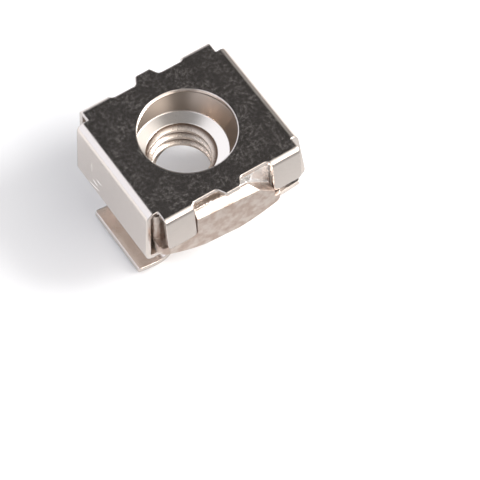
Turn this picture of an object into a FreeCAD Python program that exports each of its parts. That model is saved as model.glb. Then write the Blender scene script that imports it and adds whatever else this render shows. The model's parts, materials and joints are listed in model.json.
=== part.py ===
import FreeCAD, Part
import Sketcher
import math
import os
import re

# Rack cage nut: a loose square nut held in a folded spring-steel cage.
# Frame: origin at the centre of the screw hole, on the outer face of the cage
# plate. +Z points out of that face, the spring legs stand at +X and -X, the
# small holding tabs at +Y and -Y. Millimetres.

doc = FreeCAD.newDocument("rack_cage_nut")
sheet = doc.addObject("Spreadsheet::Sheet", "Sizes")

SIZES = [
    # folded sheet
    ("sheet_thick", 0.45, "thickness of the spring steel"),
    ("hole_dia", 8.35, "screw hole in the plate"),
    ("plate_half_x", 6.685, "plate centre to the start of a leg bend"),
    ("plate_half_y", 6.17, "plate centre to the start of a tab bend"),
    ("leg_half_width", 5.4, "half width of a spring leg"),
    ("leg_bend", 0.7, "outer radius of the bend from plate to leg"),
    ("flare", 5.5, "degrees that each leg stands outwards"),
    ("lean", 2.5, "degrees that both legs lean towards +X as they lie"),
    ("inner_height", 5.45, "free height between plate and shoulders"),
    ("shoulder_bend", 0.7, "outer radius of the bend from leg to shoulder"),
    ("shoulder_end", 5.6, "centre to the end of the full-width shoulder"),
    ("shoulder_corner", 0.4, "corner radius of the shoulder ends"),
    # spring hooks that grip the edge of the square panel hole
    ("mouth_half", 4.7, "centre to the neck face that meets the panel hole"),
    ("neck_bend", 0.7, "inner radius of the bend from shoulder to neck"),
    ("mouth_height", 4.4, "free height of the mouth below the shoulder"),
    ("hook_bend", 1.1, "inner radius of the bend from neck to lip"),
    ("hook_half_width", 3.53, "half width of neck and lip"),
    ("lip_reach", 7.85, "centre to the tip of the short lip, at -X"),
    ("long_lip_reach", 8.45, "centre to the tip of the long lip, at +X"),
    ("lip_rise", 10.0, "degrees that the short lip rises outwards"),
    ("long_lip_rise", 7.0, "degrees that the long lip rises outwards"),
    ("lip_corner", 0.2, "corner radius of the lips"),
    # holding tabs beside the nut
    ("tab_width", 2.7, "width of a tab"),
    ("front_tab_at", 5.15, "centre line to the middle of a tab at -Y"),
    ("back_tab_at", 4.95, "centre line to the middle of a tab at +Y"),
    ("front_shift", 0.17, "how far the tabs at -Y sit towards +X"),
    ("tab_bend", 0.55, "outer radius of the bend from plate to tab"),
    ("tab_flare", 4.5, "degrees that a tab stands outwards"),
    ("tab_drop", 3.7, "plate face to the end of a tab"),
    ("tab_corner", 0.35, "corner radius of a tab end"),
    ("notch_fillet", 0.45, "radius between plate edge and tab"),
    # tongue between two tabs
    ("tongue_reach", 0.8, "how far a tongue stands out of the plate edge"),
    ("tongue_root", 1.15, "half width of a tongue at its root"),
    ("tongue_tip", 0.7, "half width of a tongue at its tip"),
    ("tongue_fillet", 0.4, "radius at the root of a tongue"),
    ("tongue_corner", 0.2, "radius at the tip of a tongue"),
    # square nut
    ("thread_dia", 6.0, "M6 x 1 thread, over the roots"),
    ("ear_height", 4.75, "seat to the top of the ears"),
    ("block_play", 0.15, "space between the plate and the nut below it"),
    ("nut_half_x", 5.75, "half width of the nut across the legs"),
    ("ear_stand", 0.1, "how far an ear stands past the tab face"),
    ("ear_half", 3.1, "half width of an ear, between two tabs"),
    ("ear_offset", 0.8, "ear centre from the bore centre"),
    ("ear_chamfer", 0.65, "chamfer along the top of an ear"),
    ("ear_fillet", 0.3, "radius from an ear to the ledge under the tabs"),
    ("flank_gap", 0.15, "longer ear at -Y to the round of the corner post"),
    ("slope_start", 2.8, "bore centre to the slope at the +X end of an ear"),
    ("slope_angle", 40.0, "degrees of that slope"),
    ("ear_recess", 0.3, "step of the middle block behind an ear"),
    ("post_at", 3.7, "bore centre to the top of a corner post"),
    ("post_lean", 24.0, "degrees that a post's inner side leans"),
    ("tab_play", 0.62, "space between a tab and the nut behind it"),
    ("ledge_gap", 0.1, "space between a tab end and the ledge"),
    ("nut_corner", 0.6, "radius of the nut's upright corners"),
    ("foot_radius", 7.0, "where the conical foot chamfer meets the seat"),
    ("foot_angle", 37.0, "degrees of the conical foot chamfer"),
    ("bore_chamfer", 0.2, "chamfer of the bore at the seat"),
    ("funnel_foot", 3.78, "seat to the foot of the flared counterbore"),
    ("funnel_dia", 8.0, "counterbore at its foot"),
    ("funnel_mouth", 10.0, "counterbore where it meets the top of the nut"),
    ("funnel_fall", 0.3, "fall of the cone from counterbore to thread"),
    # how the loose nut lies in the cage
    ("nut_yaw", 3.5, "degrees that the loose nut is turned"),
    ("wall_gap", 0.05, "space between nut corner and leg"),
    ("nut_back", 0.2, "how far the nut lies towards -Y"),
]
V = {}
for row, (name, value, note) in enumerate(SIZES, start=1):
    sheet.set("A%d" % row, note)
    sheet.set("B%d" % row, str(value))
    sheet.setAlias("B%d" % row, name)
    V[name] = value
doc.recompute()


def bound(obj, prop, formula):
    """Bind a property to a formula in which every size is a bare word."""
    full = re.sub(r"[a-z_]+", lambda w: "Sizes." + w.group() if w.group() in V
                  else w.group(), formula)
    obj.setExpression(prop, full)


def origin_plane(body, role):
    for feature in body.Origin.OriginFeatures:
        if feature.Role == role:
            return feature
    raise RuntimeError("no plane " + role)


def new_sketch(body, name, role, height=None):
    """Sketch on an origin plane; height is a formula for its offset."""
    sk = body.newObject("Sketcher::SketchObject", name)
    sk.AttachmentSupport = [(origin_plane(body, role), "")]
    sk.MapMode = "FlatFace"
    if height is not None:
        bound(sk, ".AttachmentOffset.Base.z", height)
    return sk


def dim(sk, constraint, label, formula):
    index = sk.addConstraint(constraint)
    sk.renameConstraint(index, label)
    bound(sk, "Constraints." + label, formula)
    return index


def rectangle(sk, tag, x0, x1, y0, y1):
    """Rectangle whose four sides are (value, formula) from the two axes.

    A formula of None pins the side to the axis itself."""
    vec = FreeCAD.Vector
    a, b, c, d = x0[0], x1[0], y0[0], y1[0]
    pts = [vec(a, c, 0), vec(b, c, 0), vec(b, d, 0), vec(a, d, 0)]
    ids = [sk.addGeometry(Part.LineSegment(pts[i], pts[(i + 1) % 4]), False)
           for i in range(4)]
    for i in range(4):
        sk.addConstraint(Sketcher.Constraint("Coincident", ids[i], 2,
                                             ids[(i + 1) % 4], 1))
    for i in (0, 2):
        sk.addConstraint(Sketcher.Constraint("Horizontal", ids[i]))
    for i in (1, 3):
        sk.addConstraint(Sketcher.Constraint("Vertical", ids[i]))
    for label, kind, line, (value, formula) in (
            ("left", "DistanceX", ids[3], x0), ("right", "DistanceX", ids[1], x1),
            ("low", "DistanceY", ids[0], y0), ("high", "DistanceY", ids[2], y1)):
        if formula is None:
            axis = -2 if kind == "DistanceX" else -1
            sk.addConstraint(Sketcher.Constraint("PointOnObject", line, 1, axis))
        else:
            dim(sk, Sketcher.Constraint(kind, -1, 1, line, 1, value),
                tag + label, formula)
    return ids


def polygon(sk, tag, points):
    """Closed outline through points, each ((x, formula), (y, formula)).

    A formula of None pins the point to the axis itself."""
    con = Sketcher.Constraint
    pts = [FreeCAD.Vector(x[0], y[0], 0) for x, y in points]
    count = len(pts)
    ids = [sk.addGeometry(Part.LineSegment(pts[i], pts[(i + 1) % count]), False)
           for i in range(count)]
    for i in range(count):
        sk.addConstraint(con("Coincident", ids[i], 2, ids[(i + 1) % count], 1))
    for i, ((xv, xf), (yv, yf)) in enumerate(points):
        if xf is None:
            sk.addConstraint(con("PointOnObject", ids[i], 1, -2))
        else:
            dim(sk, con("DistanceX", -1, 1, ids[i], 1, xv),
                "%s_x%d" % (tag, i), xf)
        if yf is None:
            sk.addConstraint(con("PointOnObject", ids[i], 1, -1))
        else:
            dim(sk, con("DistanceY", -1, 1, ids[i], 1, yv),
                "%s_y%d" % (tag, i), yf)


def strip_path(sk, start, heading, steps):
    """Tangent chain of runs and bends; returns the geometry ids in order.

    A step is ("run", length) or ("bend", radius, turn in degrees)."""
    vec = FreeCAD.Vector
    x, y, ang = start[0], start[1], math.radians(heading)
    chain = []
    for step in steps:
        if step[0] == "run":
            nx, ny = x + step[1] * math.cos(ang), y + step[1] * math.sin(ang)
            gid = sk.addGeometry(Part.LineSegment(vec(x, y, 0), vec(nx, ny, 0)),
                                 False)
            chain.append((gid, 1, 2))
        else:
            radius, turn = step[1], math.radians(step[2])
            side = 1.0 if turn > 0 else -1.0
            cx = x - side * radius * math.sin(ang)
            cy = y + side * radius * math.cos(ang)
            a0 = ang - side * math.pi / 2
            a1 = a0 + turn
            nx, ny = cx + radius * math.cos(a1), cy + radius * math.sin(a1)
            circle = Part.Circle(vec(cx, cy, 0), vec(0, 0, 1), radius)
            lo, hi = (a0, a1) if turn > 0 else (a1, a0)
            gid = sk.addGeometry(Part.ArcOfCircle(circle, lo, hi), False)
            chain.append((gid, 1, 2) if turn > 0 else (gid, 2, 1))
            ang += turn
        x, y = nx, ny
    for (ga, _, pa), (gb, pb, _) in zip(chain, chain[1:]):
        sk.addConstraint(Sketcher.Constraint("Tangent", ga, pa, gb, pb))
    return [c[0] for c in chain]


def sweep(body, name, profile, spine):
    pipe = body.newObject("PartDesign::AdditivePipe", name)
    pipe.Profile = profile
    count = len(spine.Shape.Edges)
    pipe.Spine = (spine, ["Edge%d" % (i + 1) for i in range(count)])
    body.Tip = pipe
    doc.recompute()
    return pipe


def edges_where(feature, test):
    """Names of a feature's edges whose middle and ends pass a test."""
    names = []
    for i, edge in enumerate(feature.Shape.Edges, start=1):
        ends = [v.Point for v in edge.Vertexes]
        mid = edge.valueAt((edge.FirstParameter + edge.LastParameter) / 2)
        if len(ends) == 2 and test(ends, mid, edge):
            names.append("Edge%d" % i)
    return names


def dress(body, kind, name, prop, formula, test):
    """Fillet or chamfer the edges of the current tip that pass a test."""
    base = body.Tip
    names = edges_where(base, test)
    feature = body.newObject("PartDesign::" + kind, name)
    feature.Base = (base, names)
    bound(feature, prop, formula)
    body.Tip = feature
    doc.recompute()
    return feature


def cut(body, name, sketch, through=False, length=None, reverse=False):
    before = body.Shape.Volume
    pocket = body.newObject("PartDesign::Pocket", name)
    pocket.Profile = sketch
    if through:
        pocket.Type = 1
        pocket.Midplane = True
    else:
        bound(pocket, "Length", length)
        pocket.Reversed = reverse
    body.Tip = pocket
    doc.recompute()
    if body.Shape.Volume >= before - 1e-6:
        raise RuntimeError(name + " removes nothing")
    return pocket


def pad(body, name, sketch, length, reverse=False):
    before = 0.0 if body.Shape is None or body.Shape.isNull() else body.Shape.Volume
    feature = body.newObject("PartDesign::Pad", name)
    feature.Profile = sketch
    bound(feature, "Length", length)
    feature.Reversed = reverse
    body.Tip = feature
    doc.recompute()
    if body.Shape.Volume <= before + 1e-6:
        raise RuntimeError(name + " adds nothing")
    return feature


# Spring cage, folded from one sheet
cage = doc.addObject("PartDesign::Body", "Cage")
cage.Label = "spring_cage"
half_t = V["sheet_thick"] / 2
# depth of the shoulders' underside, the face that meets the panel
under = V["inner_height"] + 2 * V["sheet_thick"]
under_f = "( inner_height + 2 * sheet_thick )"

# the flat plate between the four bends
sk = new_sketch(cage, "PlateOutline", "XY_Plane")
edge_x = V["back_tab_at"] + V["tab_width"] / 2
edge_f = "( back_tab_at + tab_width / 2 )"
rectangle(sk, "plate", (-edge_x, "- " + edge_f), (edge_x, edge_f),
          (-V["plate_half_y"], "- plate_half_y"),
          (V["plate_half_y"], "plate_half_y"))
pad(cage, "Plate", sk, "sheet_thick", reverse=True)


def turn_to(old, new):
    """Signed turn in degrees from one heading to another."""
    return (new - old + 180) % 360 - 180


def leg(name, side):
    """One spring leg: plate, wall, shoulder, neck and lip as one swept strip.

    side is +1 for the leg at +X and -1 for the leg at -X. The runs are drawn
    at about their length, and the dimensions then set them exactly."""
    tag = name.lower()
    sign = "" if side > 0 else "-"
    out_dir = 0 if side > 0 else 180
    in_dir = 180 - out_dir
    wall_dir = -90 + V["lean"] + side * V["flare"]
    neck_dir = -90 + V["lean"]
    long_or_short = "long_" if side > 0 else ""
    reach, rise = long_or_short + "lip_reach", long_or_short + "lip_rise"
    lip_dir = V[rise] if side > 0 else 180 - V[rise]
    sk = new_sketch(cage, name + "Path", "XZ_Plane")
    ids = strip_path(sk, (0, -half_t), out_dir, [
        ("run", V["plate_half_x"]),
        ("bend", V["leg_bend"] - half_t, turn_to(out_dir, wall_dir)),
        ("run", V["inner_height"] - V["shoulder_bend"]),
        ("bend", V["shoulder_bend"] - half_t, turn_to(wall_dir, in_dir)),
        ("run", V["plate_half_x"] - V["mouth_half"] - V["neck_bend"]),
        ("bend", V["neck_bend"] + half_t, turn_to(in_dir, neck_dir)),
        ("run", V["mouth_height"] - V["neck_bend"] - V["hook_bend"]),
        ("bend", V["hook_bend"] + half_t, turn_to(neck_dir, lip_dir)),
        ("run", V[reach] - V["mouth_half"] - V["hook_bend"])])
    plate, top, wall, low, shoulder, turn, neck, hook, lip = ids
    con = Sketcher.Constraint
    sk.addConstraint(con("PointOnObject", plate, 1, -2))
    sk.addConstraint(con("Horizontal", plate))
    dim(sk, con("DistanceY", -1, 1, plate, 1, -half_t), tag + "_mid",
        "- sheet_thick / 2")
    dim(sk, con("DistanceX", -1, 1, plate, 2, side * V["plate_half_x"]),
        tag + "_start", sign + " plate_half_x")
    dim(sk, con("Radius", top, V["leg_bend"] - half_t), tag + "_top",
        "leg_bend - sheet_thick / 2")
    dim(sk, con("Angle", wall, math.radians(wall_dir)), tag + "_wall",
        "( -90 + lean %s flare ) * 1 deg" % ("+" if side > 0 else "-"))
    dim(sk, con("Radius", low, V["shoulder_bend"] - half_t), tag + "_low",
        "shoulder_bend - sheet_thick / 2")
    sk.addConstraint(con("Horizontal", shoulder))
    dim(sk, con("DistanceY", -1, 1, shoulder, 1, -under + half_t),
        tag + "_shoulder", "- %s + sheet_thick / 2" % under_f)
    dim(sk, con("Radius", turn, V["neck_bend"] + half_t), tag + "_turn",
        "neck_bend + sheet_thick / 2")
    turn_x = side * (V["mouth_half"] + V["neck_bend"]) \
        + (under + V["neck_bend"]) * math.tan(math.radians(V["lean"]))
    dim(sk, con("DistanceX", -1, 1, turn, 3, turn_x), tag + "_neck_at",
        "%s ( mouth_half + neck_bend ) + ( %s + neck_bend ) "
        "* tan( lean * 1 deg )" % (sign, under_f))
    dim(sk, con("Angle", neck, math.radians(neck_dir)), tag + "_neck",
        "( -90 + lean ) * 1 deg")
    dim(sk, con("Radius", hook, V["hook_bend"] + half_t), tag + "_hook",
        "hook_bend + sheet_thick / 2")
    dim(sk, con("DistanceY", -1, 1, hook, 3,
                -under - V["mouth_height"] + V["hook_bend"]),
        tag + "_mouth", "- ( %s + mouth_height - hook_bend )" % under_f)
    dim(sk, con("Angle", lip, math.radians(lip_dir)), tag + "_lip",
        ("%s * 1 deg" if side > 0 else "( 180 - %s ) * 1 deg") % rise)
    tip_x = side * V[reach] + (under + V["mouth_height"]) \
        * math.tan(math.radians(V["lean"]))
    dim(sk, con("DistanceX", -1, 1, lip, 2, tip_x), tag + "_tip",
        "%s %s + ( %s + mouth_height ) * tan( lean * 1 deg )"
        % (sign, reach, under_f))
    strip = new_sketch(cage, name + "Strip", "YZ_Plane")
    rectangle(strip, tag, (-V["leg_half_width"], "- leg_half_width"),
              (V["leg_half_width"], "leg_half_width"),
              (-V["sheet_thick"], "- sheet_thick"), (0.0, None))
    doc.recompute()
    return sweep(cage, name, strip, sk)


leg("RightLeg", 1)
leg("LeftLeg", -1)


# distance of the tabs from the middle, and their shift in X, at each end of Y
TAB_AT = {-1: ("front_tab_at", V["front_shift"], " + front_shift"),
          1: ("back_tab_at", 0.0, "")}


def flap(name, end):
    """Strip as wide as both tabs, swept from the plate down beside the nut.

    end is the sign of Y where it hangs."""
    tag = name.lower()
    fall = -90 + end * V["tab_flare"]
    out_dir = 0 if end > 0 else 180
    sk = new_sketch(cage, name + "Path", "YZ_Plane")
    plate, bend, face = strip_path(sk, (0, -half_t), out_dir, [
        ("run", V["plate_half_y"]),
        ("bend", V["tab_bend"] - half_t, turn_to(out_dir, fall)),
        ("run", V["tab_drop"] - V["tab_bend"])])
    con = Sketcher.Constraint
    sk.addConstraint(con("PointOnObject", plate, 1, -2))
    sk.addConstraint(con("Horizontal", plate))
    dim(sk, con("DistanceY", -1, 1, plate, 1, -half_t), tag + "_mid",
        "- sheet_thick / 2")
    dim(sk, con("DistanceX", -1, 1, plate, 2, end * V["plate_half_y"]),
        tag + "_start", "%d * plate_half_y" % end)
    dim(sk, con("Radius", bend, V["tab_bend"] - half_t), tag + "_bend",
        "tab_bend - sheet_thick / 2")
    dim(sk, con("Angle", face, math.radians(fall)), tag + "_dir",
        "( -90 + %d * tab_flare ) * 1 deg" % end)
    dim(sk, con("DistanceY", -1, 1, face, 2, -V["tab_drop"]), tag + "_end",
        "- tab_drop")
    at, shift, shift_f = TAB_AT[end]
    far = V[at] + V["tab_width"] / 2
    far_f = "( %s + tab_width / 2 )" % at
    strip = new_sketch(cage, name + "Strip", "XZ_Plane")
    rectangle(strip, tag, (shift - far, "- " + far_f + shift_f),
              (shift + far, far_f + shift_f),
              (-V["sheet_thick"], "- sheet_thick"), (0.0, None))
    doc.recompute()
    return sweep(cage, name, strip, sk)


def notch(name, end):
    """Notch with two round corners that parts a flap into its two tabs.

    Its corners are cut through the sheet first, and the gap is then cut away
    below the sheet."""
    tag = name.lower()
    at, shift, shift_f = TAB_AT[end]
    near = V[at] - V["tab_width"] / 2
    near_f = "( %s - tab_width / 2 )" % at
    x0, x1 = shift - near, shift + near
    x0_f, x1_f = "- " + near_f + shift_f, near_f + shift_f
    edge, radius = V["plate_half_y"], V["notch_fillet"]
    out = edge + V["tab_bend"] + V["sheet_thick"]
    out_f = "%d * ( plate_half_y + tab_bend + sheet_thick )" % end
    sk = new_sketch(cage, name + "Outline", "XY_Plane")
    ids = strip_path(sk, (x0, end * out), -90 * end, [
        ("run", out - edge - radius), ("bend", radius, 90 * end),
        ("run", x1 - x0 - 2 * radius), ("bend", radius, 90 * end),
        ("run", out - edge - radius)])
    left, corner_a, inner, corner_b, right = ids
    con = Sketcher.Constraint
    lid = sk.addGeometry(Part.LineSegment(FreeCAD.Vector(x1, end * out, 0),
                                          FreeCAD.Vector(x0, end * out, 0)),
                         False)
    sk.addConstraint(con("Coincident", right, 2, lid, 1))
    sk.addConstraint(con("Coincident", lid, 2, left, 1))
    sk.addConstraint(con("Horizontal", inner))
    sk.addConstraint(con("Horizontal", lid))
    sk.addConstraint(con("Vertical", left))
    sk.addConstraint(con("Vertical", right))
    sk.addConstraint(con("Equal", corner_a, corner_b))
    dim(sk, con("Radius", corner_a, radius), tag + "_radius", "notch_fillet")
    dim(sk, con("DistanceX", -1, 1, left, 1, x0), tag + "_left", x0_f)
    dim(sk, con("DistanceX", -1, 1, right, 2, x1), tag + "_right", x1_f)
    dim(sk, con("DistanceY", -1, 1, inner, 1, end * edge), tag + "_edge",
        "%d * plate_half_y" % end)
    dim(sk, con("DistanceY", -1, 1, lid, 1, end * out), tag + "_out", out_f)
    cut(cage, name, sk, length="sheet_thick")
    gap = new_sketch(cage, name + "GapOutline", "XZ_Plane")
    rectangle(gap, tag + "_gap", (x0, x0_f), (x1, x1_f),
              (-V["tab_drop"] - V["sheet_thick"], "- ( tab_drop + sheet_thick )"),
              (-V["sheet_thick"], "- sheet_thick"))
    cut(cage, name + "Gap", gap, length="plate_half_y + tab_bend + tab_drop",
        reverse=end < 0)


for flap_name, end in (("Front", -1), ("Back", 1)):
    flap(flap_name + "Flap", end)
    notch(flap_name + "Notch", end)


def tongue(name, side):
    """Tapered tongue between two tabs, in the plane of the plate."""
    tag = name.lower()
    y0, y1 = V["plate_half_y"] - 1.0, V["plate_half_y"] + V["tongue_reach"]
    root, tip = V["tongue_root"], V["tongue_tip"]
    vec = FreeCAD.Vector
    sk = new_sketch(cage, name + "Outline", "XY_Plane")
    con = Sketcher.Constraint
    pts = [vec(-root, side * y0, 0), vec(root, side * y0, 0),
           vec(root, side * V["plate_half_y"], 0), vec(tip, side * y1, 0),
           vec(-tip, side * y1, 0), vec(-root, side * V["plate_half_y"], 0)]
    ids = [sk.addGeometry(Part.LineSegment(pts[i], pts[(i + 1) % 6]), False)
           for i in range(6)]
    for i in range(6):
        sk.addConstraint(con("Coincident", ids[i], 2, ids[(i + 1) % 6], 1))
    for i in (1, 5):
        sk.addConstraint(con("Vertical", ids[i]))
    sk.addConstraint(con("Symmetric", ids[0], 1, ids[0], 2, -2))
    sk.addConstraint(con("Symmetric", ids[3], 1, ids[3], 2, -2))
    sign = "" if side > 0 else "-"
    dim(sk, con("DistanceX", -1, 1, ids[0], 2, root), tag + "_root",
        "tongue_root")
    dim(sk, con("DistanceX", -1, 1, ids[3], 1, tip), tag + "_tip", "tongue_tip")
    dim(sk, con("DistanceY", -1, 1, ids[0], 1, side * y0), tag + "_in",
        "%s ( plate_half_y - 1 )" % sign)
    dim(sk, con("DistanceY", -1, 1, ids[2], 1, side * V["plate_half_y"]),
        tag + "_edge", "%s plate_half_y" % sign)
    sk.addConstraint(con("Horizontal", ids[1], 2, ids[5], 1))
    dim(sk, con("DistanceY", -1, 1, ids[3], 1, side * y1), tag + "_out",
        "%s ( plate_half_y + tongue_reach )" % sign)
    doc.recompute()
    return pad(cage, name, sk, "sheet_thick", reverse=True)


tongue("FrontTongue", -1)
tongue("BackTongue", 1)

# the screw hole
sk = new_sketch(cage, "HoleCircle", "XY_Plane")
circle_id = sk.addGeometry(Part.Circle(FreeCAD.Vector(0, 0, 0),
                                       FreeCAD.Vector(0, 0, 1),
                                       V["hole_dia"] / 2), False)
sk.addConstraint(Sketcher.Constraint("Coincident", circle_id, 3, -1, 1))
dim(sk, Sketcher.Constraint("Diameter", circle_id, V["hole_dia"]), "hole",
    "hole_dia")
cut(cage, "ScrewHole", sk, length="2 * sheet_thick")

# neck and lip are narrower than the wall: both flanks are cut away below
# the shoulders, and at the inner ends of the shoulders
sk = new_sketch(cage, "HookFlanks", "YZ_Plane")
below = under + V["mouth_height"] + 2 * V["sheet_thick"]
below_f = "- ( %s + mouth_height + 2 * sheet_thick )" % under_f
clear = under + V["sheet_thick"] / 3
clear_f = "- ( %s + sheet_thick / 3 )" % under_f
side_y = V["leg_half_width"] + V["sheet_thick"]
side_f = "( leg_half_width + sheet_thick )"
rectangle(sk, "front", (-side_y, "- " + side_f),
          (-V["hook_half_width"], "- hook_half_width"),
          (-below, below_f), (-clear, clear_f))
rectangle(sk, "rear", (V["hook_half_width"], "hook_half_width"),
          (side_y, side_f), (-below, below_f), (-clear, clear_f))
cut(cage, "NarrowHooks", sk, through=True)

sk = new_sketch(cage, "ShoulderEnds", "XY_Plane",
                "- ( sheet_thick + inner_height / 2 )")
for tag, rows in (
        ("front", [(-side_y, "- " + side_f),
                   (-V["hook_half_width"], "- hook_half_width")]),
        ("rear", [(V["hook_half_width"], "hook_half_width"),
                  (side_y, side_f)])):
    rectangle(sk, tag, (-V["shoulder_end"], "- shoulder_end"),
              (V["shoulder_end"], "shoulder_end"), *rows)
cut(cage, "TrimShoulders", sk, length="inner_height / 2 + 3 * sheet_thick")


def close(a, b, tol=0.02):
    return abs(a - b) < tol


dress(cage, "Fillet", "ShoulderCorners", "Radius", "shoulder_corner",
      lambda e, m, g: close(abs(m.y), V["leg_half_width"])
      and close(abs(m.x), V["shoulder_end"]) and m.z < -V["inner_height"]
      and close(e[0].x, e[1].x) and close(e[0].y, e[1].y))
dress(cage, "Fillet", "TabCorners", "Radius", "tab_corner",
      lambda e, m, g: close(g.Length, V["sheet_thick"])
      and abs(m.y) > V["plate_half_y"]
      and m.z < -V["tab_drop"] + V["sheet_thick"])
dress(cage, "Fillet", "LipCorners", "Radius", "lip_corner",
      lambda e, m, g: close(g.Length, V["sheet_thick"])
      and close(abs(m.y), V["hook_half_width"])
      and m.z < -under - V["mouth_height"] / 2
      and abs(m.x) > V["mouth_half"] + V["hook_bend"])
dress(cage, "Fillet", "TongueRoots", "Radius", "tongue_fillet",
      lambda e, m, g: close(abs(m.y), V["plate_half_y"])
      and close(abs(m.x), V["tongue_root"]) and close(e[0].x, e[1].x)
      and close(e[0].y, e[1].y))
dress(cage, "Fillet", "TongueCorners", "Radius", "tongue_corner",
      lambda e, m, g: close(abs(m.y), V["plate_half_y"] + V["tongue_reach"])
      and close(abs(m.x), V["tongue_tip"]) and close(e[0].x, e[1].x)
      and close(e[0].y, e[1].y))


def turned_cut(body, name, points):
    """Groove about the bore axis; points are ((r, formula), (z, formula))."""
    sk = new_sketch(body, name + "Outline", "XZ_Plane")
    polygon(sk, name.lower(), points)
    doc.recompute()
    before = body.Shape.Volume
    groove = body.newObject("PartDesign::Groove", name)
    groove.Profile = sk
    groove.ReferenceAxis = (sk, ["V_Axis"])
    groove.Angle = 360
    body.Tip = groove
    doc.recompute()
    if body.Shape.Volume >= before - 1e-6:
        raise RuntimeError(name + " removes nothing")
    return groove


# Square nut, built on its own seat: z = 0 is the face that lies on the shoulders.
nut = doc.addObject("PartDesign::Body", "Nut")
nut.Label = "square_nut"

# the ledge lies just below the tab ends, the ears stand between the tabs
ledge = V["sheet_thick"] + V["inner_height"] - V["tab_drop"] - V["ledge_gap"]
ledge_f = "( sheet_thick + inner_height - tab_drop - ledge_gap )"
half_y = V["plate_half_y"] + V["tab_bend"] + V["ear_stand"]
half_y_f = "( plate_half_y + tab_bend + ear_stand )"
behind = V["plate_half_y"] + V["tab_bend"] - V["sheet_thick"] - V["tab_play"]
behind_f = "( plate_half_y + tab_bend - sheet_thick - tab_play )"
ear_lo, ear_hi = V["ear_offset"] - V["ear_half"], V["ear_offset"] + V["ear_half"]

sk = new_sketch(nut, "FootOutline", "XY_Plane")
rectangle(sk, "foot", (-V["nut_half_x"], "- nut_half_x"),
          (V["nut_half_x"], "nut_half_x"),
          (-half_y, "- " + half_y_f), (half_y, half_y_f))
pad(nut, "Foot", sk, ledge_f)
dress(nut, "Fillet", "FootCorners", "Radius", "nut_corner",
      lambda e, m, g: close(e[0].x, e[1].x) and close(e[0].y, e[1].y))

# conical chamfer around the seat, which trims the four lower corners; its
# cone starts a little below the seat
corner = V["nut_half_x"] + half_y
corner_f = "( nut_half_x + %s )" % half_y_f
slope = math.tan(math.radians(V["foot_angle"]))
slope_f = "tan( foot_angle * 1 deg )"
start, start_f = -V["nut_corner"], "- nut_corner"
turned_cut(nut, "FootCone", [
    ((V["foot_radius"] + start / slope, "foot_radius - nut_corner / " + slope_f),
     (start, start_f)),
    ((corner, corner_f), (start, start_f)),
    ((corner, corner_f),
     ((corner - V["foot_radius"]) * slope,
      "( %s - foot_radius ) * " % corner_f + slope_f))])

sk = new_sketch(nut, "EarOutline", "XY_Plane", ledge_f)
rectangle(sk, "ear", (ear_lo, "ear_offset - ear_half"),
          (ear_hi, "ear_offset + ear_half"),
          (-half_y, "- " + half_y_f), (half_y, half_y_f))
pad(nut, "Ears", sk, "ear_height - " + ledge_f)
dress(nut, "Chamfer", "EarChamfer", "Size", "ear_chamfer",
      lambda e, m, g: close(m.z, V["ear_height"]) and close(abs(m.y), half_y)
      and close(e[0].y, e[1].y))

# the ear at -Y is longer, and a slope ends both ears at +X
high, high_f = V["ear_height"], "ear_height"
flank_end = V["nut_half_x"] - V["nut_corner"] - V["flank_gap"]
sk = new_sketch(nut, "FlankOutline", "XZ_Plane")
rectangle(sk, "flank", (ear_hi, "ear_offset + ear_half"),
          (flank_end, "nut_half_x - nut_corner - flank_gap"),
          (ledge, ledge_f), (high, high_f))
pad(nut, "Flank", sk, half_y_f)
slope_end = V["slope_start"] + (high - ledge) \
    / math.tan(math.radians(V["slope_angle"]))
slope_end_f = "slope_start + ( ear_height - %s ) " \
    "/ tan( slope_angle * 1 deg )" % ledge_f
sk = new_sketch(nut, "SlopeOutline", "XZ_Plane")
polygon(sk, "slope", [
    ((V["slope_start"], "slope_start"), (high, high_f)),
    ((slope_end, slope_end_f), (ledge, ledge_f)),
    ((slope_end, slope_end_f),
     (high + V["ear_chamfer"], "ear_height + ear_chamfer")),
    ((V["slope_start"], "slope_start"),
     (high + V["ear_chamfer"], "ear_height + ear_chamfer"))])
cut(nut, "EarSlopes", sk, through=True)

# the middle block and four corner posts fill the space up to the plate
block = V["inner_height"] - V["block_play"]
block_f = "( inner_height - block_play )"
middle = behind - V["ear_recess"]
middle_f = "( %s - ear_recess )" % behind_f
sk = new_sketch(nut, "BlockOutline", "XY_Plane", ledge_f)
rectangle(sk, "block", (-V["nut_half_x"], "- nut_half_x"),
          (V["nut_half_x"], "nut_half_x"),
          (-middle, "- " + middle_f), (middle, middle_f))
pad(nut, "Block", sk, block_f + " - " + ledge_f)
sk = new_sketch(nut, "LeftPostOutline", "XY_Plane", ledge_f)
rectangle(sk, "left_post", (-V["nut_half_x"], "- nut_half_x"),
          (ear_lo, "ear_offset - ear_half"),
          (-behind, "- " + behind_f), (behind, behind_f))
pad(nut, "LeftPosts", sk, block_f + " - " + ledge_f)
lean = (block - ledge) * math.tan(math.radians(V["post_lean"]))
lean_f = "( %s - %s ) * tan( post_lean * 1 deg )" % (block_f, ledge_f)
sk = new_sketch(nut, "RightPostOutline", "XZ_Plane", behind_f)
polygon(sk, "right_post", [
    ((V["post_at"] - lean, "post_at - " + lean_f), (ledge, ledge_f)),
    ((V["nut_half_x"], "nut_half_x"), (ledge, ledge_f)),
    ((V["nut_half_x"], "nut_half_x"), (block, block_f)),
    ((V["post_at"], "post_at"), (block, block_f))])
pad(nut, "RightPosts", sk, "2 * " + behind_f, reverse=True)
dress(nut, "Fillet", "BlockCorners", "Radius", "nut_corner",
      lambda e, m, g: close(abs(m.x), V["nut_half_x"]) and close(abs(m.y), behind)
      and close(e[0].x, e[1].x) and close(e[0].y, e[1].y))
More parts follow.
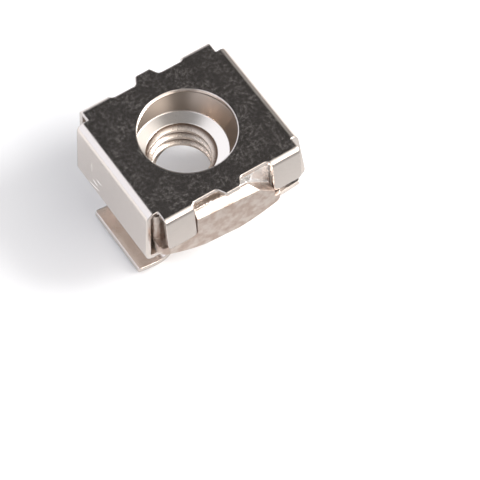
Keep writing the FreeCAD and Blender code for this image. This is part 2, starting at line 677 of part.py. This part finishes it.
dress(nut, "Fillet", "EarRoots", "Radius", "ear_fillet",
      lambda e, m, g: close(m.z, ledge) and abs(m.y) > behind
      and (close(m.x, ear_lo) or close(m.x, ear_hi)) and close(e[0].x, e[1].x))

# threaded bore, with a short cone and a flared counterbore under the plate
turned_cut(nut, "Bore", [
    ((0.0, None), (0.0, None)),
    ((V["thread_dia"] / 2 + V["bore_chamfer"],
      "thread_dia / 2 + bore_chamfer"), (0.0, None)),
    ((V["thread_dia"] / 2, "thread_dia / 2"),
     (V["bore_chamfer"], "bore_chamfer")),
    ((V["thread_dia"] / 2, "thread_dia / 2"),
     (V["funnel_foot"] - V["funnel_fall"], "funnel_foot - funnel_fall")),
    ((V["funnel_dia"] / 2, "funnel_dia / 2"),
     (V["funnel_foot"], "funnel_foot")),
    ((V["funnel_mouth"] / 2, "funnel_mouth / 2"), (block, block_f)),
    ((0.0, None), (block, block_f))])

# the loose nut lies on the shoulders, pushed towards the -X leg and turned a
# little, so that its rounded corner stays just clear of that leg
nut.Placement = FreeCAD.Placement(
    FreeCAD.Vector(0, 0, -1), FreeCAD.Rotation(FreeCAD.Vector(0, 0, -1),
                                               V["nut_yaw"]))
bound(nut, ".Placement.Rotation.Angle", "nut_yaw * 1 deg")
bound(nut, ".Placement.Base.x",
      "- ( plate_half_x + leg_bend - sheet_thick - wall_gap - nut_corner ) "
      "+ ( nut_half_x - nut_corner ) * cos( nut_yaw * 1 deg ) "
      "+ ( %s - nut_corner ) * sin( nut_yaw * 1 deg )" % half_y_f)
bound(nut, ".Placement.Base.y", "- nut_back")
bound(nut, ".Placement.Base.z", "- ( sheet_thick + inner_height )")

doc.recompute()

for obj in doc.Objects:
    if "Invalid" in obj.State or "Error" in obj.State:
        raise RuntimeError(obj.Name + " failed: " + str(obj.State))
for body in (cage, nut):
    if body.Shape.isNull() or not body.Shape.isValid():
        raise RuntimeError(body.Label + " has no valid shape")
    if len(body.Shape.Solids) != 1:
        raise RuntimeError(body.Label + " is not one solid")

os.makedirs("parts", exist_ok=True)
for body in (cage, nut):
    body.Shape.exportStep("parts/" + body.Label + ".step")
    box = body.Shape.BoundBox
    print(body.Label, round(body.Shape.Volume, 3), "mm3",
          [round(v, 3) for v in (box.XMin, box.XMax, box.YMin, box.YMax,
                                 box.ZMin, box.ZMax)])
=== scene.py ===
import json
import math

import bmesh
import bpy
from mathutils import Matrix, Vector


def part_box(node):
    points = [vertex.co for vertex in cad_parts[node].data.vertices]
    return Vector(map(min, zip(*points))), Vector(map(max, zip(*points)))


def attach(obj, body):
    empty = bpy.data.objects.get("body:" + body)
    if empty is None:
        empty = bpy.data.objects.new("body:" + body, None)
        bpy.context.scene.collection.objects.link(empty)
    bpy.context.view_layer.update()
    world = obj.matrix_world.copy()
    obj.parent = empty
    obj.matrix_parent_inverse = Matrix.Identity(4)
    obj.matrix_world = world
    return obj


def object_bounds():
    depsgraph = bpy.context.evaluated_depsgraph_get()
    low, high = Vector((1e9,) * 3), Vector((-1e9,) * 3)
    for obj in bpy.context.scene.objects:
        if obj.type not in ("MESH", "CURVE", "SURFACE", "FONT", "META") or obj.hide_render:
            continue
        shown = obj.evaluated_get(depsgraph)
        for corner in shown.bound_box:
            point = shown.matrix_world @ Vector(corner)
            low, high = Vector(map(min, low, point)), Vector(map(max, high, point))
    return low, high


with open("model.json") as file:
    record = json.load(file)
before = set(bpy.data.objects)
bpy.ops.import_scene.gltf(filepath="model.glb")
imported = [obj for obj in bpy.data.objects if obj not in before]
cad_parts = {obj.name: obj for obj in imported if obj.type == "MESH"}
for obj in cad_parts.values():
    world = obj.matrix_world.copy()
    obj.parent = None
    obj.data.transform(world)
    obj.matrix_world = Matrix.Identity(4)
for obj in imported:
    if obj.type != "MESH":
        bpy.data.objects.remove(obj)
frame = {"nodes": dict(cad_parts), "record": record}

# %% [markdown]
# A rack cage nut is a square nut that floats in a small cage of spring steel.
# Both pieces come from the frame with their true shape, so this file adds what
# the frame leaves out: the thread in the bore, a few scratches, the plated
# finish, the studio and the camera. Blender counts in metres. A length that is
# easier to read in millimetres is written times MM.

MM = 0.001
cad_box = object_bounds()


def srgb(code):
    """Turn a hex colour as seen on screen into the linear values of a shader."""
    channels = [int(code[i:i + 2], 16) / 255 for i in (1, 3, 5)]
    linear = [c / 12.92 if c <= 0.04045 else ((c + 0.055) / 1.055) ** 2.4
              for c in channels]
    return (*linear, 1.0)


print("frame box in mm", [[round(v / MM, 2) for v in corner] for corner in cad_box])

# %% [markdown]
# A material in Blender is a net of nodes, and a node has settings and inputs.
# It could be clicked together by hand, but then nobody could read how. One
# helper adds a node and fills its inputs, so each net below reads as a list.

# %% Node helper
SMOOTH = {"interpolation_type": "SMOOTHSTEP"}
MULTIPLY = {"operation": "MULTIPLY"}
DOT = {"operation": "DOT_PRODUCT"}
COLOURS = {"data_type": "RGBA"}


def add_node(tree, kind, settings=None, inputs=None):
    """Add a node; an input takes a value, an output, or a node's first output."""
    node = tree.nodes.new(kind)
    for name, value in (settings or {}).items():
        setattr(node, name, value)
    for key, value in (inputs or {}).items():
        if isinstance(value, bpy.types.Node):
            value = next(out for out in value.outputs if out.enabled)
        if isinstance(value, bpy.types.NodeSocket):
            tree.links.new(value, node.inputs[key])
        else:
            node.inputs[key].default_value = value
    return node


print("node helper ready, with", SMOOTH["interpolation_type"].lower(), "ramps")

# %% [markdown]
# The camera is a long lens that looks down on the plate from the front left.
# Its place was fitted to the plate, the hole and the hooks in the photograph.
# It could be keyed in as a position and three angles. It is written instead as
# a direction, a distance and a small shift of the aim, which can be read.

# %% Camera
CAMERA_AZIMUTH = math.radians(-32.505)
CAMERA_HEIGHT = math.radians(57.724)
CAMERA_ROLL = math.radians(-0.928)
CAMERA_DISTANCE = 250.0 * MM
AIM_RIGHT = 4.336 * MM
AIM_UP = -9.012 * MM
FOCAL_PIXELS = 3039.0
PICTURE_PIXELS = 480
SENSOR = 36.0

back = Vector((math.sin(CAMERA_AZIMUTH) * math.cos(CAMERA_HEIGHT),
               -math.cos(CAMERA_AZIMUTH) * math.cos(CAMERA_HEIGHT),
               math.sin(CAMERA_HEIGHT)))
level_right = Vector((math.cos(CAMERA_AZIMUTH), math.sin(CAMERA_AZIMUTH), 0))
level_up = back.cross(level_right)
right = (math.cos(CAMERA_ROLL) * level_right
         + math.sin(CAMERA_ROLL) * level_up)
up = math.cos(CAMERA_ROLL) * level_up - math.sin(CAMERA_ROLL) * level_right
eye = AIM_RIGHT * right + AIM_UP * up + CAMERA_DISTANCE * back

lens = bpy.data.cameras.new("long_lens")
lens.sensor_fit = "HORIZONTAL"
lens.sensor_width = SENSOR
lens.lens = FOCAL_PIXELS / PICTURE_PIXELS * SENSOR
lens.clip_start = 1 * MM
camera = bpy.data.objects.new("camera", lens)
camera.matrix_world = Matrix.Translation(eye) @ Matrix(
    (right, up, back)).transposed().to_4x4()
bpy.context.scene.collection.objects.link(camera)
bpy.context.scene.camera = camera
print("camera at", [round(v / MM, 1) for v in eye], "mm, lens", round(lens.lens, 1))

# %% [markdown]
# The thread is cut in the nut, so the eye sees its ridges. A modifier could
# wind one, but it can't follow the cone above and the seat below. So a ridge
# is a short list of section points that a loop carries round the bore, one
# pitch further on with every turn. The frame's bore gives its place.

# %% Where the thread runs
THREAD_PITCH = 1.0 * MM
THREAD_DEPTH = 0.52 * MM
CREST_HALF = 0.125 * THREAD_PITCH
FOOT_HALF = 0.47 * THREAD_PITCH
SUNK = 0.06 * MM
RIM_CLEARANCE = 0.1 * MM
TOP_CLEARANCE = 0.15 * MM

bore = next(m for m in frame["record"]["mounts"] if m["name"] == "nut_thread")
bore_centre = Vector(bore["pos_m"])
bore_radius = bore["dims"]["r_mm"] * MM
cone_foot = bore_centre.z + bore["dims"]["length_mm"] * MM / 2
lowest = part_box("square_nut")[0].z + RIM_CLEARANCE
turns = (cone_foot - TOP_CLEARANCE - lowest) / THREAD_PITCH
# a section of the ridge: height along the bore, and how deep it stands in it
ridge = [(-FOOT_HALF, -SUNK), (-CREST_HALF, THREAD_DEPTH),
         (CREST_HALF, THREAD_DEPTH), (FOOT_HALF, -SUNK)]
print("bore of radius", bore_radius / MM, "mm, room for", round(turns, 2), "turns")

# %% [markdown]
# Each ring of the mesh is the section at one angle. The ridge rises out of the
# wall in a short run at both ends, as a tap leaves it, and its points are held
# between the seat and the cone. Its foot is sunk a little into the wall.

# %% Thread
STEPS_PER_TURN = 96
FADE_TURNS = 0.12
FIRST_ANGLE = math.radians(81)
CONE_SLOPE = 0.3

mesh = bmesh.new()
rings = []
for step in range(round(turns * STEPS_PER_TURN) + 1):
    turn = step / STEPS_PER_TURN
    full = min(1.0, turn / FADE_TURNS, max(0.0, turns - turn) / FADE_TURNS)
    angle = FIRST_ANGLE + 2 * math.pi * turn
    ring = []
    for height, depth in ridge:
        radius = bore_radius + SUNK - full * (depth + SUNK)
        # the cone above and the seat below both cut the ridge off
        highest = cone_foot - CONE_SLOPE * (bore_radius - radius)
        z = max(lowest, min(highest, lowest + turn * THREAD_PITCH + height))
        ring.append(mesh.verts.new((bore_centre.x + radius * math.cos(angle),
                                    bore_centre.y + radius * math.sin(angle), z)))
    rings.append(ring)
for low, high in zip(rings, rings[1:]):
    for i in range(len(ridge) - 1):
        mesh.faces.new((low[i], low[i + 1], high[i + 1], high[i]))
bmesh.ops.recalc_face_normals(mesh, faces=mesh.faces)
thread_mesh = bpy.data.meshes.new("thread")
mesh.to_mesh(thread_mesh)
mesh.free()
thread = bpy.data.objects.new("thread", thread_mesh)
bpy.context.scene.collection.objects.link(thread)
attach(thread, "root")
print("thread of", round(turns, 2), "turns,", len(thread_mesh.polygons), "faces")

# %% [markdown]
# Both pieces are steel with a thin coat of nickel. A bare metal has no colour
# of its own below its mirror, so its colour only tints what it mirrors, and
# its roughness tells how sharply. The IOR of a metal stays at its default. Its
# edges are never quite sharp. They could be modelled round, but a bevel node
# rounds them in the shading for far less.

# %% Bare metal and its patches
def bare_metal(name, colour, edge_radius):
    """Start a metal with soft edges; return it with what its net needs."""
    material = bpy.data.materials.new(name)
    material.use_nodes = True
    tree = material.node_tree
    shader = tree.nodes["Principled BSDF"]
    shader.inputs["Metallic"].default_value = 1.0
    shader.inputs["Base Color"].default_value = srgb(colour)
    edge = add_node(tree, "ShaderNodeBevel", {"samples": 8}, {"Radius": edge_radius})
    place = add_node(tree, "ShaderNodeTexCoord").outputs["Object"]
    return material, tree, shader, edge, place


def patches(tree, place, size, span, levels=(0.0, 1.0), detail=2.0):
    """Soft patches of a real size that go from the first level to the second."""
    noise = add_node(tree, "ShaderNodeTexNoise", None, {
        "Vector": place, "Scale": 1 / size, "Detail": detail, "Roughness": 0.6})
    return add_node(tree, "ShaderNodeMapRange", SMOOTH, {
        "Value": noise, "From Min": span[0], "From Max": span[1],
        "To Min": levels[0], "To Max": levels[1]})


print("nickel on steel: full metallic, default IOR")

# %% [markdown]
# The cage is rolled spring sheet, punched, folded and plated. Rolling leaves it
# smooth, so it mirrors the studio almost clearly. Such parts are plated by the
# thousand in a turning barrel, where they scuff each other. To the eye that is
# a dark clear mirror with paler, duller flecks, which gather in clouds.
# A picture of scuffs would stretch over the bends, so noise is used here.

# %% Plated spring sheet
# real scuffs are about 0.05 mm wide; they are drawn coarser, or none would show
SCUFF = 0.30 * MM
CLOUD = 1.7 * MM
WAVE = 1.3 * MM
WAVE_DEPTH = 0.006 * MM
CLEAR, SCUFFED = 0.16, 0.27

cage_steel, tree, shader, edge, place = bare_metal(
    "nickel_plated_spring_steel", "#EBE2DB", 0.18 * MM)
worn = add_node(tree, "ShaderNodeMath", MULTIPLY, {
    0: patches(tree, place, SCUFF, (0.25, 0.75), detail=1.0),
    1: patches(tree, place, CLOUD, (0.35, 0.65), (0.45, 1.0))})
dulled = add_node(tree, "ShaderNodeMapRange", SMOOTH, {
    "Value": worn, "To Min": CLEAR, "To Max": SCUFFED})
tree.links.new(dulled.outputs["Result"], shader.inputs["Roughness"])
# the sheet is never quite flat, which bends what it mirrors a little
wave = add_node(tree, "ShaderNodeTexNoise", None, {
    "Vector": place, "Scale": 1 / WAVE, "Detail": 1.0, "Roughness": 0.6})
wavy = add_node(tree, "ShaderNodeBump", None, {
    "Height": wave, "Normal": edge, "Strength": 1.0, "Distance": WAVE_DEPTH})
tree.links.new(wavy.outputs["Normal"], shader.inputs["Normal"])
for slot in frame["nodes"]["spring_cage"].material_slots:
    slot.material = cage_steel
print("spring steel: scuffs of", SCUFF / MM, "mm in clouds of", CLOUD / MM, "mm")

# %% [markdown]
# Handling leaves a few light scratches on the flat wall of a leg. A bump could
# draw them, but it would be gone in the exported shape. The raised lip of a
# scratch leans upwards and catches the sky, so each one is a thin sliver with
# its lower side lifted, laid on the wall where a probe line meets it. The
# scraped nickel is paler and duller than the plate around it.

# %% Scratches
# real scratches are about 0.02 mm wide; these are as thin as still shows
SCRATCH_WIDTH = 0.05 * MM
LIFT = 0.035 * MM
CONTACT = 0.001 * MM
STOPS = 6
OPEN_TIP = 0.3
BURNISHED = 0.3
PROBE_START = -20 * MM
# start and end of each scratch on the left wall: Y and Z in millimetres
SCRATCHES = [((3.15, -2.55), (3.04, -3.68)), ((3.52, -5.49), (1.86, -5.11)),
             ((2.38, -3.95), (1.52, -3.92)), ((2.95, -4.55), (2.1, -4.7))]

burnished, _, shader, _, _ = bare_metal("burnished_scratch", "#F9F4EF", 0.02 * MM)
shader.inputs["Roughness"].default_value = BURNISHED
cage = frame["nodes"]["spring_cage"]
mesh = bmesh.new()
for (y0, z0), (y1, z1) in SCRATCHES:
    run = Vector((0, y1 - y0, z1 - z0)) * MM
    side = Vector((0, -run.z, run.y)).normalized()
    if side.z < 0:
        side.negate()
    pairs = []
    for step in range(STOPS + 1):
        at = Vector((PROBE_START, y0 * MM, z0 * MM)) + run * step / STOPS
        share = math.sin(math.pi * (step + OPEN_TIP) / (STOPS + 2 * OPEN_TIP))
        pair = []
        for way, lift in ((-1, LIFT * share), (1, CONTACT)):
            _, spot, normal, _ = cage.ray_cast(
                at + way * SCRATCH_WIDTH / 2 * share * side, (1, 0, 0))
            pair.append(mesh.verts.new(spot + normal * lift))
        pairs.append(pair)
    for (a, b), (c, d) in zip(pairs, pairs[1:]):
        mesh.faces.new((a, b, d, c))
scratch_mesh = bpy.data.meshes.new("scratches")
mesh.to_mesh(scratch_mesh)
mesh.free()
scratch_mesh.materials.append(burnished)
scratches = bpy.data.objects.new("scratches", scratch_mesh)
bpy.context.scene.collection.objects.link(scratches)
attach(scratches, "root")
print(len(SCRATCHES), "scratches at x =",
      round(scratch_mesh.vertices[0].co.x / MM, 2), "mm")

# %% [markdown]
# The nut was forged rough, sheared at its ears, and then bored and tapped, and
# each of these left its own surface under the nickel. One material could be
# assigned to each face, but the edges between them would be hard. Here one net
# asks how far a point is from the bore's axis and blends from zone to zone.

# %% Zones of the nut
TURNED_RADIUS = 5.1 * MM
RING_RADIUS = 3.95 * MM
ZONE_BLUR = 0.15 * MM


def bore_distance(tree, place):
    """Return the way from the bore's middle to a point, and its radius."""
    way = add_node(tree, "ShaderNodeVectorMath", {"operation": "SUBTRACT"},
                   {0: place, 1: bore_centre})
    level = add_node(tree, "ShaderNodeVectorMath", MULTIPLY, {0: way, 1: (1, 1, 0)})
    return way, add_node(tree, "ShaderNodeVectorMath", {"operation": "LENGTH"},
                         {0: level})


nut_steel, tree, shader, edge, place = bare_metal(
    "nickel_plated_nut", "#DDD0C5", 0.12 * MM)
from_bore, radius = bore_distance(tree, place)
# forged outside the counterbore; the wall lies outside the ring above the thread
forged, wall = [add_node(tree, "ShaderNodeMapRange", SMOOTH, {
    "Value": radius, "From Min": start, "From Max": start + ZONE_BLUR})
    for start in (TURNED_RADIUS, RING_RADIUS)]
print("ring to", RING_RADIUS / MM, "mm, turned wall to", TURNED_RADIUS / MM, "mm")

# %% [markdown]
# Forging presses scale into the skin of a blank. When the scale falls off it
# leaves shallow pits, so the outside is dull, with duller spots. Turning cuts
# clean metal, which is much shinier. A random bump alone would look like
# paint, so the same pits also drive the roughness.

# %% Pits and roughness of the nut
# real pits are 0.05 to 0.1 mm wide; they are drawn coarser so that they show
PIT = 0.35 * MM
PIT_DEPTH = 0.012 * MM
BLOTCH = 0.9 * MM
DULL = (0.36, 0.58)
SHINY = (0.20, 0.30)

pits = add_node(tree, "ShaderNodeMath", MULTIPLY, {
    0: patches(tree, place, PIT, (0.35, 0.75), detail=3.0),
    1: patches(tree, place, BLOTCH, (0.35, 0.65), (0.4, 1.0))})
dull = add_node(tree, "ShaderNodeMapRange", SMOOTH, {
    "Value": pits, "To Min": DULL[0], "To Max": DULL[1]})
shiny = add_node(tree, "ShaderNodeMix", None, {
    "Factor": wall, "A": SHINY[0], "B": SHINY[1]})
finish = add_node(tree, "ShaderNodeMix", None, {
    "Factor": forged, "A": shiny, "B": dull})
tree.links.new(finish.outputs["Result"], shader.inputs["Roughness"])
dents = add_node(tree, "ShaderNodeMath", MULTIPLY, {0: pits, 1: forged})
pitted = add_node(tree, "ShaderNodeBump", None, {
    "Height": dents, "Normal": edge, "Strength": 1.0, "Distance": PIT_DEPTH})
print("pits of", PIT / MM, "mm, roughness", DULL, "outside and", SHINY, "inside")

# %% [markdown]
# The outside looks stained in soft blotches, and the turned wall looks brown. The turned
# wall of the counterbore is painted brown: painted shade and painted reflection inside the
# recess, not a colour of the metal. That may be a film on it or something brown that it
# mirrors, which one photograph can't tell; here it is a colour. The bevels on top of the
# ears look clean. Each of these is a mix of two colours by a zone, which keeps the whole
# nut in one material.

# %% Colour of the nut
BEVEL_FOOT = 2.30 * MM

blotches = patches(tree, place, BLOTCH, (0.35, 0.65))
on_skin = add_node(tree, "ShaderNodeMath", MULTIPLY, {0: blotches, 1: forged})
part = add_node(tree, "ShaderNodeSeparateXYZ", None, {"Vector": from_bore})
below_bevel = add_node(tree, "ShaderNodeMapRange", SMOOTH, {
    "Value": part.outputs["Z"], "From Min": BEVEL_FOOT,
    "From Max": BEVEL_FOOT + ZONE_BLUR, "To Min": 1.0, "To Max": 0.0})
stained = add_node(tree, "ShaderNodeMath", MULTIPLY, {0: on_skin, 1: below_bevel})
# painted shade: the turned wall of the counterbore is coloured brown
tint = add_node(tree, "ShaderNodeMix", COLOURS, {
    "Factor": wall, "A": srgb("#F6EFE8"), "B": srgb("#AFA297")})
tint = add_node(tree, "ShaderNodeMix", COLOURS, {
    "Factor": forged, "A": tint, "B": srgb("#E4D8CF")})
tint = add_node(tree, "ShaderNodeMix", COLOURS, {
    "Factor": stained, "A": tint, "B": srgb("#CFBBAF")})
print("stains in blotches of", BLOTCH / MM, "mm below the bevels")

# %% [markdown]
# Behind the ears the blank was sheared. Shearing tears the metal open, so these faces show
# coarse grains. On the side away from the near leg their colour is painted near white:
# partly bright torn metal and partly a painted highlight where that side catches the
# light.
# The grains could be modelled, but they are shallow and only a few pixels wide,
# so a bump carries them.

# %% Sheared faces of the nut
TORN = 0.28 * MM
TORN_DEPTH = 0.09 * MM
SHEARED_HALF = 6.0 * MM
SHEARED_BLUR = 0.2 * MM
HIGHLIGHT_SIDE = 0.3 * MM
HIGHLIGHT_BLUR = 1.0 * MM

off_centre = add_node(tree, "ShaderNodeMath", {"operation": "ABSOLUTE"},
                      {0: part.outputs["Y"]})
between_ears = add_node(tree, "ShaderNodeMapRange", SMOOTH, {
    "Value": off_centre, "From Min": SHEARED_HALF,
    "From Max": SHEARED_HALF + SHEARED_BLUR, "To Min": 1.0, "To Max": 0.0})
sheared = add_node(tree, "ShaderNodeMath", MULTIPLY, {0: forged, 1: between_ears})
grains = add_node(tree, "ShaderNodeTexNoise", None, {
    "Vector": place, "Scale": 1 / TORN, "Detail": 2.0, "Roughness": 0.6})
torn = add_node(tree, "ShaderNodeMath", MULTIPLY, {0: sheared, 1: grains})
rough = add_node(tree, "ShaderNodeBump", None, {
    "Height": torn, "Normal": pitted, "Strength": 1.0, "Distance": TORN_DEPTH})
tree.links.new(rough.outputs["Normal"], shader.inputs["Normal"])
highlight_side = add_node(tree, "ShaderNodeMapRange", SMOOTH, {
    "Value": part.outputs["X"], "From Min": HIGHLIGHT_SIDE,
    "From Max": HIGHLIGHT_SIDE + HIGHLIGHT_BLUR})
bright = add_node(tree, "ShaderNodeMath", MULTIPLY, {0: sheared, 1: highlight_side})
# painted highlight: the sheared faces on the +X side are coloured near white, partly as
# bright torn metal
tint = add_node(tree, "ShaderNodeMix", COLOURS, {
    "Factor": bright, "A": tint, "B": srgb("#F3F2F1")})
tree.links.new(tint.outputs["Result"], shader.inputs["Base Color"])
for slot in frame["nodes"]["square_nut"].material_slots:
    slot.material = nut_steel
print("torn grains of", TORN / MM, "mm up to", SHEARED_HALF / MM, "mm off centre")

# %% [markdown]
# A tap cuts the thread last. The crests look bright and the roots dark. The dark of the
# roots is painted shade under each crest, so the eye reads the ridges as light lines on
# dark ones. Shading alone leaves them too alike, so the colour follows the radius.

# %% Tapped thread
CREST_RADIUS = bore_radius - 0.45 * MM
ROOT_RADIUS = bore_radius - 0.08 * MM
# the marks of a tap are about 0.05 mm apart; they are drawn coarser to show
CHATTER = 0.12 * MM
CHATTER_DEPTH = 0.02 * MM
RUBBED = (0.22, 0.45)

thread_steel, tree, shader, edge, place = bare_metal(
    "tapped_thread_steel", "#DDD0C5", 0.05 * MM)
_, radius = bore_distance(tree, place)
painted_root_shade = add_node(tree, "ShaderNodeMapRange", SMOOTH, {
    "Value": radius, "From Min": CREST_RADIUS, "From Max": ROOT_RADIUS})
# painted shade: the roots are coloured dark brown, and the crests keep the plain colour
tint = add_node(tree, "ShaderNodeMix", COLOURS, {
    "Factor": painted_root_shade, "A": srgb("#DDD0C5"), "B": srgb("#68574C")})
tree.links.new(tint.outputs["Result"], shader.inputs["Base Color"])
chatter = add_node(tree, "ShaderNodeTexNoise", None, {
    "Vector": place, "Scale": 1 / CHATTER, "Detail": 2.0, "Roughness": 0.6})
rubbed = add_node(tree, "ShaderNodeMapRange", SMOOTH, {
    "Value": chatter, "From Min": 0.3, "From Max": 0.7,
    "To Min": RUBBED[0], "To Max": RUBBED[1]})
tree.links.new(rubbed.outputs["Result"], shader.inputs["Roughness"])
marked = add_node(tree, "ShaderNodeBump", None, {
    "Height": chatter, "Normal": edge, "Strength": 1.0, "Distance": CHATTER_DEPTH})
tree.links.new(marked.outputs["Normal"], shader.inputs["Normal"])
thread_mesh.materials.append(thread_steel)
print("thread: light crests at", round(CREST_RADIUS / MM, 2), "mm, dark roots")

# %% [markdown]
# Bright metal shows its studio more than itself, so the studio is built with
# care. It is a white tent with a gap overhead, in line with the camera. The
# plate mirrors the dark end of that gap, so it looks dark while every bend
# beside it looks bright. The middle of the gap is grey, as the bore shows.
# Real boards would throw odd shadows, so all of it is painted on the world.

# %% Tent with its gap
SKY = 1.2
GAP_MIDDLE = 0.29
GAP_END = 0.04
GAP_END_DEGREES = (30, 13)
GAP_HALF = (0.20, 0.36)

world = bpy.data.worlds.new("white_tent")
bpy.context.scene.world = world
world.use_nodes = True
tree = world.node_tree
look = add_node(tree, "ShaderNodeTexCoord").outputs["Generated"]
mirror = Vector((-back.x, -back.y, back.z))
across = Vector((-back.y, back.x, 0)).normalized()

to_mirror = add_node(tree, "ShaderNodeVectorMath", DOT, {0: look, 1: mirror})
outer, inner = [math.cos(math.radians(d)) for d in GAP_END_DEGREES]
near_end = add_node(tree, "ShaderNodeMapRange", SMOOTH, {
    "Value": to_mirror, "From Min": outer, "From Max": inner})
gap = add_node(tree, "ShaderNodeMix", None, {
    "Factor": near_end, "A": GAP_MIDDLE, "B": GAP_END})
sideways = add_node(tree, "ShaderNodeVectorMath", DOT, {0: look, 1: across})
aside = add_node(tree, "ShaderNodeMath", {"operation": "ABSOLUTE"}, {0: sideways})
inside = add_node(tree, "ShaderNodeMapRange", SMOOTH, {
    "Value": aside, "From Min": GAP_HALF[0], "From Max": GAP_HALF[1],
    "To Min": 1.0, "To Max": 0.0})
light = add_node(tree, "ShaderNodeMix", None, {"Factor": inside, "A": SKY, "B": gap})
print("tent at", SKY, "with a gap of", GAP_MIDDLE, "and", GAP_END, "at its end")

# %% [markdown]
# Two soft boards stand in the tent. A grey flag at the right and back tones
# down the bend on that side, and a white card in front brightens what leans
# forward. Each is a round spot of sky with a soft edge. Below the card, the
# dark front edge of the table draws a line along the foot of the near walls.

# %% Boards and table edge
CARD = 2.72
FLAG = 0.34
TABLE_EDGE = 0.10
EDGE_HEIGHT = (0.10, 0.26)
EDGE_FRONT = (0.75, 0.92)
# name, direction, degrees where it starts and where it is full, and its level
BOARDS = [("grey flag", (0.76, 0.45, 0.46), (28, 18), FLAG),
          ("white card", (0.287, -0.845, 0.45), (32, 20), CARD)]
for name, direction, degrees, level in BOARDS:
    toward = add_node(tree, "ShaderNodeVectorMath", DOT, {0: look, 1: direction})
    outer, inner = [math.cos(math.radians(d)) for d in degrees]
    near = add_node(tree, "ShaderNodeMapRange", SMOOTH, {
        "Value": toward, "From Min": outer, "From Max": inner})
    light = add_node(tree, "ShaderNodeMix", None, {
        "Factor": near, "A": light, "B": level})
    print(name, "at level", level)
height = add_node(tree, "ShaderNodeVectorMath", DOT, {0: look, 1: (0, 0, 1)})
low = add_node(tree, "ShaderNodeMapRange", SMOOTH, {
    "Value": height, "From Min": EDGE_HEIGHT[0], "From Max": EDGE_HEIGHT[1],
    "To Min": 1.0, "To Max": 0.0})
ahead = add_node(tree, "ShaderNodeVectorMath", DOT, {0: look, 1: (0.287, -0.958, 0)})
front = add_node(tree, "ShaderNodeMapRange", SMOOTH, {
    "Value": ahead, "From Min": EDGE_FRONT[0], "From Max": EDGE_FRONT[1]})
table = add_node(tree, "ShaderNodeMath", MULTIPLY, {0: low, 1: front})
light = add_node(tree, "ShaderNodeMix", None, {
    "Factor": table, "A": light, "B": TABLE_EDGE})
tree.links.new(light.outputs["Result"], tree.nodes["Background"].inputs["Strength"])

# %% [markdown]
# Daylight falls in from the left and the back and is a little cool, while the
# lamp light from the right is a little warm. A pale tint on the tent is enough
# for that, since the metal mirrors it.

# %% Tint of the tent
DAYLIGHT_FROM = (-0.83, 0.55, 0)
WARM, COOL = "#FFFAF5", "#F1F5FF"
to_window = add_node(tree, "ShaderNodeVectorMath", DOT, {0: look, 1: DAYLIGHT_FROM})
cool = add_node(tree, "ShaderNodeMapRange", SMOOTH, {
    "Value": to_window, "From Min": -0.6, "From Max": 0.8})
tint = add_node(tree, "ShaderNodeMix", COLOURS, {
    "Factor": cool, "A": srgb(WARM), "B": srgb(COOL)})
tree.links.new(tint.outputs["Result"], tree.nodes["Background"].inputs["Color"])
print("tent tinted from", WARM, "to", COOL)

# %% [markdown]
# The nut stands on a sheet of white paper, which takes its soft shadow. Paper is matte, so
# it only scatters light. For glossy rays only, the paper fades to dark towards the front,
# while the eye sees it plain white. This is a painted reflection of a table that is darker
# towards the front, which the metal mirrors.

# %% Floor
PAPER_HALF = 2.0
FADE_START = -30 * MM
FADE_END = 4 * MM
DARK_FRONT, PALE_BACK = 0.25, 0.86

level = cad_box[0][2]
floor_mesh = bpy.data.meshes.new("floor")
floor_mesh.from_pydata([(x * PAPER_HALF, y * PAPER_HALF, level)
                        for x, y in ((-1, -1), (1, -1), (1, 1), (-1, 1))],
                       [], [(0, 1, 2, 3)])
floor = bpy.data.objects.new("floor", floor_mesh)
bpy.context.scene.collection.objects.link(floor)
paper = bpy.data.materials.new("white_paper")
paper.use_nodes = True
tree = paper.node_tree
matte = tree.nodes["Principled BSDF"]
matte.inputs["Roughness"].default_value = 1.0
place = add_node(tree, "ShaderNodeTexCoord").outputs["Object"]
spot = add_node(tree, "ShaderNodeSeparateXYZ", None, {"Vector": place})
painted_reflection_fade = add_node(tree, "ShaderNodeMapRange", SMOOTH, {
    "Value": spot.outputs["Y"], "From Min": FADE_START, "From Max": FADE_END,
    "To Min": DARK_FRONT, "To Max": PALE_BACK})
ray = add_node(tree, "ShaderNodeLightPath")
# painted reflection: only glossy rays see the paper darken towards the front
shade = add_node(tree, "ShaderNodeMix", None, {
    "Factor": ray.outputs["Is Glossy Ray"], "A": 1.0, "B": painted_reflection_fade})
tree.links.new(shade.outputs["Result"], matte.inputs["Base Color"])
floor_mesh.materials.append(paper)
print("paper at z =", round(level / MM, 2), "mm")

# %% [markdown]
# One weak soft box at the right gives the shadow its direction, towards the
# left and the back. The tent alone would leave only a faint smudge below the
# hooks. The box is large and far off, so the shadow's edge stays soft.

# %% Lamp
LAMP_PLACE = Vector((0.28, -0.17, 0.26))
lamp = bpy.data.lights.new("soft_box", "AREA")
lamp.shape = "DISK"
lamp.size = 0.20
lamp.energy = 1.44
soft_box = bpy.data.objects.new("soft_box", lamp)
soft_box.location = LAMP_PLACE
soft_box.rotation_euler = (-LAMP_PLACE).to_track_quat("-Z", "Y").to_euler()
bpy.context.scene.collection.objects.link(soft_box)
print("soft box of", lamp.energy, "W,", round(LAMP_PLACE.length, 2), "m away")

# %% [markdown]
# The Standard view shows each colour about as it is written.

# %% View
bpy.context.scene.view_settings.view_transform = "Standard"
